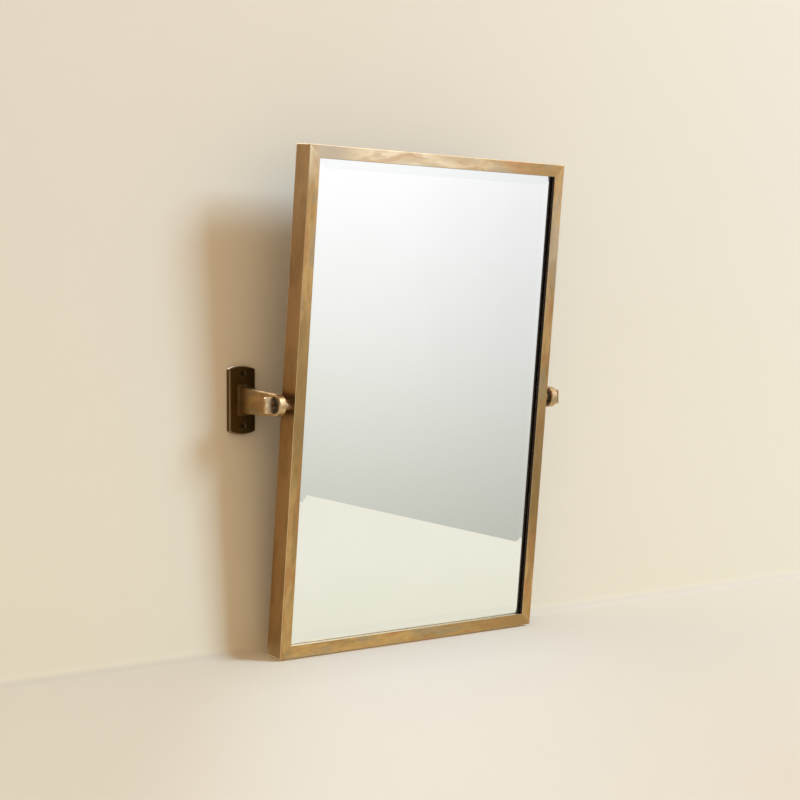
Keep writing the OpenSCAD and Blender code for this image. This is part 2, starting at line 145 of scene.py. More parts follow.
class ShaderNet:
    """Makes and links the nodes of one material or world."""

    MIX_FACTOR, MIX_A, MIX_B, MIX_RESULT = 0, 6, 7, 2

    def __init__(self, tree: bpy.types.NodeTree) -> None:
        """Empties the tree, so that every node in it is made here."""
        self.tree = tree
        tree.nodes.clear()

    def node(
        self,
        kind: str,
        settings: dict[str, Any] | None = None,
        sockets: dict[str | int, Any] | None = None,
    ) -> bpy.types.Node:
        """Makes a node.

        Args:
            kind: The node's type.
            settings: Its own settings, which are set first.
            sockets: A value or a Wire for each input, by name or number.

        Returns:
            The node.
        """
        made = self.tree.nodes.new(kind)
        for name, value in (settings or {}).items():
            setattr(made, name, value)
        for key, value in (sockets or {}).items():
            if isinstance(value, Wire):
                self.tree.links.new(value.socket, made.inputs[key])
            else:
                made.inputs[key].default_value = value
        return made

    def wire(self, node: bpy.types.Node, output: str | int = 0) -> Wire:
        """One output of a node as a Wire."""
        return Wire(self, node.outputs[output])

    def math(self, operation: str, a: Value, b: Value = 0.0) -> Wire:
        """A Math node on one or two values."""
        return self.wire(self.node("ShaderNodeMath", {"operation": operation}, {0: a, 1: b}))

    def mix(self, factor: Value, a: Wire | Colour, b: Wire | Colour) -> Wire:
        """Mixes two colours.

        Args:
            factor: How much of b there is.
            a: The first colour.
            b: The second colour.

        Returns:
            The mixed colour.
        """
        a, b = (c if isinstance(c, Wire) else rgba(c) for c in (a, b))
        sockets = {self.MIX_FACTOR: factor, self.MIX_A: a, self.MIX_B: b}
        return self.wire(self.node("ShaderNodeMix", {"data_type": "RGBA"}, sockets), self.MIX_RESULT)

    def share(self, value: Value, band: Band) -> Wire:
        """How much of its tone a band gives at a value.

        Args:
            value: The value that the tone follows.
            band: Where the tone comes in.

        Returns:
            The share, from 0 to the band's own.
        """
        names = ("Value", "From Min", "From Max", "To Min", "To Max")
        sockets = dict(zip(names, (value, band.start, band.end, 0.0, band.share)))
        return self.wire(self.node("ShaderNodeMapRange", {"interpolation_type": "SMOOTHSTEP"}, sockets))

    def mapped(self, vector: Wire, squeeze: Iterable[float], shift: Iterable[float] = (0, 0, 0)) -> Wire:
        """The vector with each part squeezed and then shifted."""
        sockets = {"Vector": vector, "Scale": tuple(squeeze), "Location": tuple(shift)}
        return self.wire(self.node("ShaderNodeMapping", {"vector_type": "POINT"}, sockets))

    def turned_back(self, vector: Wire, place: Iterable[float], tilt: float) -> Wire:
        """The vector in axes that lie at place and are tilted about X."""
        sockets = {"Vector": vector, "Location": tuple(place), "Rotation": (tilt, 0.0, 0.0)}
        return self.wire(self.node("ShaderNodeMapping", {"vector_type": "TEXTURE"}, sockets))

    def parts(self, vector: Wire) -> tuple[Wire, Wire, Wire]:
        """The X, Y and Z parts of a vector."""
        split = self.node("ShaderNodeSeparateXYZ", sockets={0: vector})
        return self.wire(split, 0), self.wire(split, 1), self.wire(split, 2)

    def along(self, vector: Wire, way: Way) -> Wire:
        """How much of a vector lies along a way."""
        product = self.node("ShaderNodeVectorMath", {"operation": "DOT_PRODUCT"}, {0: vector, 1: way})
        return self.wire(product, "Value")

    def length(self, vector: Wire) -> Wire:
        """The length of a vector."""
        return self.wire(self.node("ShaderNodeVectorMath", {"operation": "LENGTH"}, {0: vector}), "Value")

    def larger(self, a: Value, b: Value) -> Wire:
        """The larger of two values."""
        return self.math("MAXIMUM", a, b)

    def noise(
        self, vector: Wire, size: float, detail: float = 3.0, rough: float = 0.5, warp: float = 0.0
    ) -> Wire:
        """Noise from 0 to 1.

        Args:
            vector: The place that it is read at.
            size: About how large its patches are, in metres.
            detail: How many finer layers they have.
            rough: How strong the finer layers are.
            warp: How far the patches are bent.

        Returns:
            The noise.
        """
        sockets = {
            "Vector": vector,
            "Scale": 1 / size,
            "Detail": detail,
            "Roughness": rough,
            "Distortion": warp,
        }
        return self.wire(self.node("ShaderNodeTexNoise", {"noise_dimensions": "3D"}, sockets))

    def bumped(self, height: Wire, depth: float, rounding: float = 0.0) -> Wire:
        """A normal that follows a height.

        Args:
            height: The height, from 0 to 1.
            depth: How deep a height of 1 is, in metres.
            rounding: The radius that corners look rounded by.

        Returns:
            The normal.
        """
        sockets = {"Height": height, "Distance": depth, "Strength": 1.0}
        if rounding > 0:
            edges = self.node("ShaderNodeBevel", {"samples": 4}, {"Radius": rounding})
            sockets["Normal"] = self.wire(edges)
        return self.wire(self.node("ShaderNodeBump", sockets=sockets))

    def coordinates(self) -> tuple[Wire, Wire]:
        """Object coordinates and the object's own normal."""
        source = self.node("ShaderNodeTexCoord")
        return self.wire(source, "Object"), self.wire(source, "Normal")

    def ray(self, kind: str) -> Wire:
        """One of the Light Path's tests, such as Is Camera Ray."""
        return self.wire(self.node("ShaderNodeLightPath"), kind)

    def seen_in_gloss(self) -> Wire:
        """1 where a mirror, metal or glass looks, and 0 elsewhere."""
        return self.larger(self.ray("Is Glossy Ray"), self.ray("Is Transmission Ray"))

    def blend(self, factor: Value, a: Wire, b: Wire) -> Wire:
        """A Mix Shader, with as much of shader b as the factor says."""
        return self.wire(self.node("ShaderNodeMixShader", sockets={0: factor, 1: a, 2: b}))

    def glow(self, colour: Wire, strength: Value = 1.0) -> Wire:
        """A shader that gives light of its own."""
        return self.wire(self.node("ShaderNodeEmission", sockets={"Color": colour, "Strength": strength}))

    def clear(self) -> Wire:
        """A shader that shows only what is behind it."""
        return self.wire(self.node("ShaderNodeBsdfTransparent"))

    def surface(self, shader: Wire, kind: str = "ShaderNodeOutputMaterial") -> None:
        """Sends a shader to the output."""
        self.node(kind, sockets={"Surface": shader})


def new_material(name: str) -> tuple[bpy.types.Material, ShaderNet]:
    """An empty material, and the net that its nodes are made in."""
    made = bpy.data.materials.new(name)
    made.use_nodes = True
    return made, ShaderNet(made.node_tree)


# ---------------------------------------------------------------- finishes


@dataclass(frozen=True)
class Finish:
    """A surface finish. A subclass says what its sockets hold."""

    name: str

    def sockets(self, net: ShaderNet) -> dict[str, Any]:
        """What the Principled shader's sockets hold."""
        raise NotImplementedError

    def material(self) -> bpy.types.Material:
        """Makes the finish a material, once.

        Returns:
            The material.
        """
        made = bpy.data.materials.get(self.name)
        if made is None:
            made, net = new_material(self.name)
            shader = net.node("ShaderNodeBsdfPrincipled", sockets=self.sockets(net))
            net.surface(net.wire(shader))
        return made


@dataclass(frozen=True)
class Spot:
    """A place in a piece's own axes from which a tone of the patina fades out."""

    x: float
    z: float
    reach: float
    share: float


@dataclass(frozen=True)
class PatinaMaps:
    """What the tones of a patina follow, in a piece's own axes."""

    where: Wire
    normal: Wire
    brown: Wire
    spots: Wire
    blotches: Wire
    mottle: Wire
    lines: Wire


@dataclass(frozen=True)
class AgedBrass(Finish):
    """Antique brass, rubbed back under an uneven brown patina.

    The gold, brown, copper and grey tones lie in patches along the grain. Edges are brighter, partly worn
    and partly a painted highlight. Faces that look one way, such as towards the glass, may get painted
    light of their own: shade where the colour is dark, a highlight where it is pale.
    """

    # Where the tones come in, on noise from 0 to 1
    BROWN: ClassVar[Band] = Band(0.46, 0.62)
    COPPER: ClassVar[Band] = Band(0.53, 0.63, 0.75)
    GREY: ClassVar[Band] = Band(0.46, 0.36, 0.60)
    MOTTLE: ClassVar[Band] = Band(0.40, 0.75, 0.20)
    BLOTCHES: ClassVar[Band] = Band(0.49, 0.59)
    # Which faces a tone covers, by how much of the normal lies along a way
    FACING: ClassVar[Band] = Band(0.75, 0.95)
    INWARD: ClassVar[Band] = Band(0.60, 0.85)
    BARELY_INWARD: ClassVar[Band] = Band(0.02, 0.10)
    BACKWARD: ClassVar[Band] = Band(0.0, 0.2)
    CORNERS: ClassVar[Band] = Band(0.995, 0.90)
    # Where painted shade darkens a flank, by the height above the pivot or the distance from its level
    TOP_SHADE: ClassVar[Band] = Band(0.05, 0.28, 0.22)
    LOW_SHADE: ClassVar[Band] = Band(-0.31, -0.38, 0.30)
    PIVOT_SHADE: ClassVar[Band] = Band(0.028, 0.006, 0.60)
    # How strong the blotches are in the painted highlight's pale tone and in the flank tone, and how far
    # brown holds off the painted highlight
    PALE_BLOTCHES: ClassVar[float] = 0.80
    FLANK_BLOTCHES: ClassVar[float] = 0.55
    BROWN_HOLD: ClassVar[float] = 0.40
    # How much rougher each map or face makes the surface
    BROWN_ROUGH: ClassVar[float] = 0.08
    MOTTLE_ROUGH: ClassVar[float] = 0.05
    LINE_ROUGH: ClassVar[float] = 0.06
    FLANK_ROUGH: ClassVar[float] = 0.12
    MATT_ROUGH: ClassVar[float] = 0.40
    # Sizes of the finer noise, as shares of a patch, and the shift that makes it differ from the patches
    SPOT_SIZE: ClassVar[float] = 0.60
    MOTTLE_SIZE: ClassVar[float] = 0.14
    SHIFT: ClassVar[Way] = (3.1, 1.7, 5.3)
    # The fine rubbed lines, the relief that they and the mottle give, and the mottle's share in it
    LINE_WIDTH: ClassVar[float] = 1.1 * MM
    LINE_SQUEEZE: ClassVar[float] = 0.03
    MOTTLE_SHARE: ClassVar[float] = 0.6
    RELIEF: ClassVar[float] = 0.03 * MM
    ROUNDING: ClassVar[float] = 0.3 * MM

    gold: Colour = (0.62, 0.39, 0.16)
    brown: Colour = (0.45, 0.275, 0.11)
    copper: Colour = (0.54, 0.27, 0.11)
    grey: Colour = (0.42, 0.33, 0.21)
    dull: Colour = (0.38, 0.235, 0.10)
    # Edges turn to this colour, partly worn bright and partly as a painted highlight
    rubbed: Colour = (0.84, 0.70, 0.46)
    dark: Colour = (0.035, 0.018, 0.008)
    # The pale tone of the painted highlight on the front, with blotches of patina in it
    pale: Colour = (0.87, 0.75, 0.55)
    pale_blotch: Colour = (0.64, 0.50, 0.365)
    grain: Grain = Grain.ROUND
    place: Way = (0.0, 0.0, 0.0)
    tilt: float = 0.0
    # Faces towards the glass are painted this colour: shade where it is dark, a highlight where it is pale
    inward: Way = (0.0, 0.0, 0.0)
    inner: Colour = (0.035, 0.018, 0.008)
    matt_inner: bool = False
    # The stiles' outer sides: a browner patina, darkened further as painted shade
    flank: Colour = (0.385, 0.202, 0.070)
    flank_blotch: Colour = (0.245, 0.143, 0.045)
    flank_share: float = 0.0
    # A painted highlight on the front round this spot
    rubbed_spot: Spot | None = None
    # A spot round which the colour turns duller and darker
    dull_spot: Spot | None = None
    # Painted shade towards the wall
    root: Band | None = None
    tone: float = 1.0
    edge_wear_and_highlight: float = 0.5
    seed: float = 0.0
    patch: float = 34 * MM
    roughness: float = 0.24

    def sockets(self, net: ShaderNet) -> dict[str, Any]:
        """Lays the tones of the patina over each other.

        Args:
            net: Where the nodes are made.

        Returns:
            The colour, metallic share, roughness and normal.
        """
        maps = self._maps(net)
        colour = self._spotted(net, maps, self._patches(net, maps))
        grains = self.MOTTLE_ROUGH * (maps.mottle - 0.5) + self.LINE_ROUGH * (maps.lines - 0.5)
        rough = self.roughness + self.BROWN_ROUGH * maps.brown + grains
        metallic = 1.0
        # The outer sides get their darker tone, partly patina and partly painted shade
        if self.flank_share:
            outer = net.share(abs(net.parts(maps.normal)[0]), self.FACING)
            colour = net.mix(outer * self.flank_share, colour, self._flank(net, maps))
            rough = rough + self.FLANK_ROUGH * outer
        # Brighter edges, partly worn and partly a painted highlight
        colour = net.mix(self._edge(net, maps.normal) * self.edge_wear_and_highlight, colour, self.rubbed)
        # Painted shade on faces towards the glass, and on the bottom rail a painted highlight
        if any(self.inward):
            inner = self._inner_face(net, maps.normal)
            colour = net.mix(inner, colour, self.inner)
            if self.matt_inner:
                metallic = 1 - inner
                rough = rough + self.MATT_ROUGH * inner
        height = self.MOTTLE_SHARE * maps.mottle + (1 - self.MOTTLE_SHARE) * maps.lines
        return {
            "Base Color": colour,
            "Metallic": metallic,
            "Roughness": rough,
            "Normal": net.bumped(height, self.RELIEF, self.ROUNDING),
        }

    def _maps(self, net: ShaderNet) -> PatinaMaps:
        """Works out what the tones follow.

        Args:
            net: Where the nodes are made.

        Returns:
            The maps.
        """
        where, normal = net.coordinates()
        where = net.turned_back(where, self.place, self.tilt)
        along = net.mapped(where, self.grain.value, (self.seed, 2 * self.seed, -self.seed))
        other = net.mapped(along, (1, 1, 1), self.SHIFT)
        lengthwise = net.mapped(where, self._line_squeeze(), (self.seed, 0, 0))
        spots = net.noise(other, self.SPOT_SIZE * self.patch, rough=0.55, warp=0.3)
        return PatinaMaps(
            where=where,
            normal=net.turned_back(normal, (0, 0, 0), self.tilt),
            brown=net.share(net.noise(along, self.patch, warp=0.4), self.BROWN),
            spots=spots,
            blotches=net.share(spots, self.BLOTCHES),
            mottle=net.noise(other, self.MOTTLE_SIZE * self.patch, rough=0.6),
            lines=net.noise(lengthwise, self.LINE_WIDTH, detail=2.0),
        )

    def _patches(self, net: ShaderNet, maps: PatinaMaps) -> Wire:
        """Gold under patches of brown, copper and grey and a fine dark mottle.

        Args:
            net: Where the nodes are made.
            maps: What the tones follow.

        Returns:
            The colour.
        """
        colour = net.mix(maps.brown, self._toned(self.gold), self._toned(self.brown))
        colour = net.mix(net.share(maps.spots, self.COPPER), colour, self._toned(self.copper))
        colour = net.mix(net.share(maps.spots, self.GREY), colour, self._toned(self.grey))
        return net.mix(net.share(maps.mottle, self.MOTTLE), colour, self.dark)

    def _spotted(self, net: ShaderNet, maps: PatinaMaps, colour: Wire) -> Wire:
        """Paints a pale highlight on the front round one spot, turns the colour duller round another and
        paints shade towards the wall.

        Args:
            net: Where the nodes are made.
            maps: What the tones follow.
            colour: The colour so far.

        Returns:
            The colour with those that this finish has.
        """
        # A painted highlight on the front faces round the highlight spot
        if self.rubbed_spot:
            pale = net.mix(self.PALE_BLOTCHES * maps.blotches, self.pale, self.pale_blotch)
            front = net.share(net.along(maps.normal, (0.0, -1.0, 0.0)), self.FACING)
            front = front * (1 - self.BROWN_HOLD * maps.brown)
            colour = net.mix(self._spread(net, maps.where, self.rubbed_spot) * front, colour, pale)
        if self.dull_spot:
            colour = net.mix(self._spread(net, maps.where, self.dull_spot), colour, self._toned(self.dull))
        # Painted shade towards the wall, where the arm meets the plate
        if self.root:
            depth = net.parts(maps.where)[1]
            colour = net.mix(net.share(depth, self.root), colour, self.dark)
        return colour

    def _flank(self, net: ShaderNet, maps: PatinaMaps) -> Wire:
        """The browner patina of a stile's outer side, darkened further as painted shade, with more painted
        shade at its ends and round the pivot.

        Args:
            net: Where the nodes are made.
            maps: What the tones follow.

        Returns:
            The colour.
        """
        height = net.parts(maps.where)[2]
        # Painted shade at the flank's ends and round the pivot
        painted_shade = net.share(height, self.TOP_SHADE) + net.share(height, self.LOW_SHADE)
        painted_shade = painted_shade + net.share(abs(height), self.PIVOT_SHADE)
        flank = net.mix(self.FLANK_BLOTCHES * maps.blotches, self.flank, self.flank_blotch)
        return net.mix(painted_shade, flank, self.dark)

    def _toned(self, colour: Colour) -> Colour:
        """The colour at this finish's depth of patina."""
        return tuple(part * self.tone for part in colour)

    def _line_squeeze(self) -> Way:
        """The squeeze of the fine rubbed lines, far longer along the grain than across it."""
        return tuple(self.LINE_SQUEEZE if s < 1 else s for s in self.grain.value)

    def _edge(self, net: ShaderNet, normal: Wire) -> Wire:
        """Finds corners by how far the normal is from every axis.

        Args:
            net: Where the nodes are made.
            normal: The piece's normal.

        Returns:
            1 where the surface turns a corner, and 0 on the flats.
        """
        x, y, z = (abs(part) for part in net.parts(normal))
        return net.share(net.larger(net.larger(x, y), z), self.CORNERS)

    def _inner_face(self, net: ShaderNet, normal: Wire) -> Wire:
        """Finds the face towards the glass and the rounded edge behind it.

        Args:
            net: Where the nodes are made.
            normal: The piece's normal.

        Returns:
            1 on them, and 0 elsewhere.
        """
        inward = net.along(normal, self.inward)
        behind = net.share(inward, self.BARELY_INWARD) * net.share(net.parts(normal)[1], self.BACKWARD)
        return net.larger(net.share(inward, self.INWARD), behind)

    @staticmethod
    def _spread(net: ShaderNet, where: Wire, spot: Spot) -> Wire:
        """The share of a spot's tone, which fades out from its middle."""
        flat = net.mapped(where, (1, 0, 1), (-spot.x, 0, -spot.z))
        return net.share(net.length(flat), Band(spot.reach, 0.0, spot.share))


@dataclass(frozen=True)
class ClearGlass(Finish):
    """The polished glass in front of the silvering, with a faint green body and a trace of dust."""

    DUST: ClassVar[Band] = Band(0.45, 0.80)
    HAZE: ClassVar[Band] = Band(0.50, 0.90, 0.004)
    WIPE_SQUEEZE: ClassVar[Way] = (1.0, 1.0, 0.35)
    # The top bevel's normal leans up by a part that lies between these two
    OVER_FLAT: ClassVar[Band] = Band(0.03, 0.06)
    UNDER_STEEP: ClassVar[Band] = Band(0.20, 0.10)

    body: Colour = (0.975, 0.982, 0.977)
    dusty: Colour = (0.965, 0.973, 0.966)
    # The top bevel's greyer tint, a painted reflection
    ground: Colour = (0.925, 0.928, 0.940)
    tilt: float = 0.0
    wipe: float = 110 * MM

    def sockets(self, net: ShaderNet) -> dict[str, Any]:
        """Clear glass that a wipe has left very slightly uneven, with a painted greyer reflection on the
        bevel along its top.

        Args:
            net: Where the nodes are made.

        Returns:
            The colour, roughness and what makes it glass.
        """
        where, normal = net.coordinates()
        wiped = net.noise(net.mapped(where, self.WIPE_SQUEEZE), self.wipe, warp=0.4)
        upward = net.parts(net.turned_back(normal, (0, 0, 0), self.tilt))[2]
        # A painted greyer reflection on the top bevel
        bevel = net.share(upward, self.OVER_FLAT) * net.share(upward, self.UNDER_STEEP)
        clear = net.mix(net.share(wiped, self.DUST), self.body, self.dusty)
        return {
            "Base Color": net.mix(bevel, clear, self.ground),
            "Metallic": 0.0,
            "Roughness": net.share(wiped, self.HAZE),
            "IOR": 1.52,
            "Transmission Weight": 1.0,
        }


@dataclass(frozen=True)
class Silvering(Finish):
    """The mirror's silver layer."""

    CLOUDS: ClassVar[Band] = Band(0.4, 0.7)

    bright: Colour = (0.958, 0.962, 0.958)
    dull: Colour = (0.950, 0.955, 0.948)
    cloud: float = 90 * MM
    haze: float = 0.003

    def sockets(self, net: ShaderNet) -> dict[str, Any]:
        """Silver with a very faint cloudiness.

        Args:
            net: Where the nodes are made.

        Returns:
            The colour, metallic share and roughness.
        """
        where, _ = net.coordinates()
        cloudy = net.noise(where, self.cloud, detail=2.0)
        return {
            "Base Color": net.mix(net.share(cloudy, self.CLOUDS), self.bright, self.dull),
            "Metallic": 1.0,
            "Roughness": self.haze * cloudy,
        }


@dataclass(frozen=True)
class MottledFinish(Finish):
    """A finish of two close tones with a fine relief, for the plainer materials."""

    DARK: ClassVar[Band] = Band(0.38, 0.62)
    PATCH_SHARE: ClassVar[float] = 0.6
    GRAIN_SIZE: ClassVar[float] = 0.2
    GRAIN_ROUGH: ClassVar[float] = 0.12

    light: Colour
    dark: Colour
    patch: float
    roughness: float
    relief: float
    metallic: float = 0.0
    rounding: float = 0.0
    specular: float = 0.5

    def sockets(self, net: ShaderNet) -> dict[str, Any]:
        """Two tones in patches, with grains a fifth of their size.

        Args:
            net: Where the nodes are made.

        Returns:
            The colour, gloss and normal.
        """
        where, _ = net.coordinates()
        patches = net.noise(where, self.patch, detail=4.0, rough=0.55)
        grains = net.noise(where, self.GRAIN_SIZE * self.patch, rough=0.6)
        tones = self.PATCH_SHARE * patches + (1 - self.PATCH_SHARE) * grains
        return {
            "Base Color": net.mix(net.share(tones, self.DARK), self.light, self.dark),
            "Metallic": self.metallic,
            "Specular IOR Level": self.specular,
            "Roughness": self.roughness + self.GRAIN_ROUGH * (grains - 0.5),
            "Normal": net.bumped(grains, self.relief, self.rounding),
        }


BOARD = MottledFinish(
    "black_painted_hardboard",
    light=(0.050, 0.047, 0.044),
    dark=(0.028, 0.026, 0.025),
    patch=6 * MM,
    roughness=0.55,
    relief=0.08 * MM,
)
FOAM = MottledFinish(
    "white_foam",
    light=(0.86, 0.86, 0.84),
    dark=(0.74, 0.74, 0.71),
    patch=4 * MM,
    roughness=0.8,
    relief=0.1 * MM,
)
ZINC = MottledFinish(
    "zinc_plate",
    light=(0.66, 0.67, 0.68),
    dark=(0.48, 0.49, 0.51),
    patch=5 * MM,
    roughness=0.34,
    relief=0.02 * MM,
    metallic=1.0,
    rounding=0.2 * MM,
)
STEEL = MottledFinish(
    "turned_steel",
    light=(0.50, 0.50, 0.51),
    dark=(0.34, 0.34, 0.35),
    patch=3 * MM,
    roughness=0.38,
    relief=0.03 * MM,
    metallic=1.0,
    rounding=0.2 * MM,
)
RUBBER = MottledFinish(
    "soft_rubber",
    light=(0.055, 0.054, 0.053),
    dark=(0.030, 0.030, 0.030),
    patch=3 * MM,
    roughness=0.75,
    relief=0.05 * MM,
)
FIBRE = MottledFinish(
    "dark_fibre",
    light=(0.050, 0.024, 0.012),
    dark=(0.024, 0.013, 0.007),
    patch=3 * MM,
    roughness=0.75,
    relief=0.05 * MM,
    specular=0.0,
)
NYLON = MottledFinish(
    "natural_nylon",
    light=(0.78, 0.75, 0.66),
    dark=(0.70, 0.66, 0.56),
    patch=4 * MM,
    roughness=0.45,
    relief=0.03 * MM,
)
SILVER = Silvering("silvering")
DARK_SCREW = AgedBrass("dark_brass_screws", tone=0.20, edge_wear_and_highlight=0.05, patch=8 * MM, seed=1.9, roughness=0.4)
# The wall plates' dark brass is partly their own colour and partly painted shade
DARK_PLATE = AgedBrass(
    "dark_brass_plate",
    gold=(0.20, 0.115, 0.032),
    brown=(0.16, 0.085, 0.022),
    copper=(0.17, 0.085, 0.024),
    grey=(0.15, 0.095, 0.036),
    rubbed=(0.40, 0.29, 0.17),
    grain=Grain.ALONG_Z,
    patch=30 * MM,
    seed=5.5,
    roughness=0.33,
)


def hardware(side: Side, part: str, x: float, **tones: Any) -> AgedBrass:
    """The brass of a turned or cast part beside the pivot.

    Args:
        side: The side that the part is on.
        part: What it is called.
        x: How far from the mirror's middle a pale highlight is painted on its front.
        tones: Other fields of the finish.

    Returns:
        The finish.
    """
    return AgedBrass(
        f"aged_brass_{part}_{side.word}",
        patch=14 * MM,
        seed=8.3,
        roughness=0.33,
        edge_wear_and_highlight=0.7,
        # A painted highlight on the part's front
        rubbed_spot=Spot(x=side.value * x, z=-0.005, reach=0.04, share=0.65),
        **tones,
    )


# ---------------------------------------------------------------- mesh tools


def dress(piece: bpy.types.Object, finish: Finish) -> None:
    """Gives every slot of a piece the finish."""
    piece.data.materials.clear()
    piece.data.materials.append(finish.material())


def dress_node(name: str, finish: Finish) -> None:
    """Gives a carried-over node the finish."""
    dress(frame["nodes"][name], finish)
    LOG.info("%s: dressed in %s", name, finish.name)


def mesh_object(bm: bmesh.types.BMesh, name: str) -> bpy.types.Object:
    """Turns a bmesh into a smooth-shaded object of the scene.

    Args:
        bm: The shape, in its place. It is freed here.
        name: The object's name.

    Returns:
        The object.
    """
    mesh = bpy.data.meshes.new(name)
    bm.to_mesh(mesh)
    bm.free()
    mesh.shade_smooth()
    made = bpy.data.objects.new(name, mesh)
    bpy.context.scene.collection.objects.link(made)
    return made


def piece_from(bm: bmesh.types.BMesh, name: str, body: str, finish: Finish) -> bpy.types.Object:
    """Turns a bmesh into a piece that rides on a body.

    Args:
        bm: The shape, in its place. It is freed here.
        name: The piece's name.
        body: The body that it rides on.
        finish: What it is dressed in.

    Returns:
        The piece.
    """
    bmesh.ops.remove_doubles(bm, verts=bm.verts, dist=TOUCHING)
    bmesh.ops.recalc_face_normals(bm, faces=bm.faces)
    piece = mesh_object(bm, name)
    piece.data.set_sharp_from_angle(angle=SHARP)
    dress(piece, finish)
    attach(piece, body)
    LOG.info("%s: %d faces, rides on %s", name, len(piece.data.polygons), body)
    return piece


def staged(bm: bmesh.types.BMesh, name: str, material: bpy.types.Material) -> bpy.types.Object:
    """Turns a bmesh into a sheet of the stage.

    Args:
        bm: The shape, in its place. It is freed here.
        name: The sheet's name.
        material: What it is made of.

    Returns:
        The sheet.
    """
    sheet = mesh_object(bm, name)
    sheet.data.materials.append(material)
    return sheet


def ends_of(made: dict[str, Any]) -> list[bmesh.types.BMVert]:
    """The new vertices that an extrusion returned."""
    return [g for g in made["geom"] if isinstance(g, bmesh.types.BMVert)]


def draw_edges(bm: bmesh.types.BMesh, edges: list[bmesh.types.BMEdge], way: Way) -> None:
    """Draws edges out into faces, along a way."""
    made = bmesh.ops.extrude_edge_only(bm, edges=edges)
    bmesh.ops.translate(bm, verts=ends_of(made), vec=way)


def draw_faces(bm: bmesh.types.BMesh, faces: list[bmesh.types.BMFace], way: Way, scale: float) -> None:
    """Draws faces out along a way, with walls behind them.

    Args:
        bm: The shape.
        faces: The faces, which the walls take the place of.
        way: How far they go.
        scale: The size of their new end along X and Z.
    """
    ends = ends_of(bmesh.ops.extrude_face_region(bm, geom=faces))
    bmesh.ops.delete(bm, geom=faces, context="FACES_ONLY")
    bmesh.ops.translate(bm, verts=ends, vec=way)
    bmesh.ops.scale(bm, verts=ends, vec=(scale, 1.0, scale))


# ---------------------------------------------------------------- the mirror


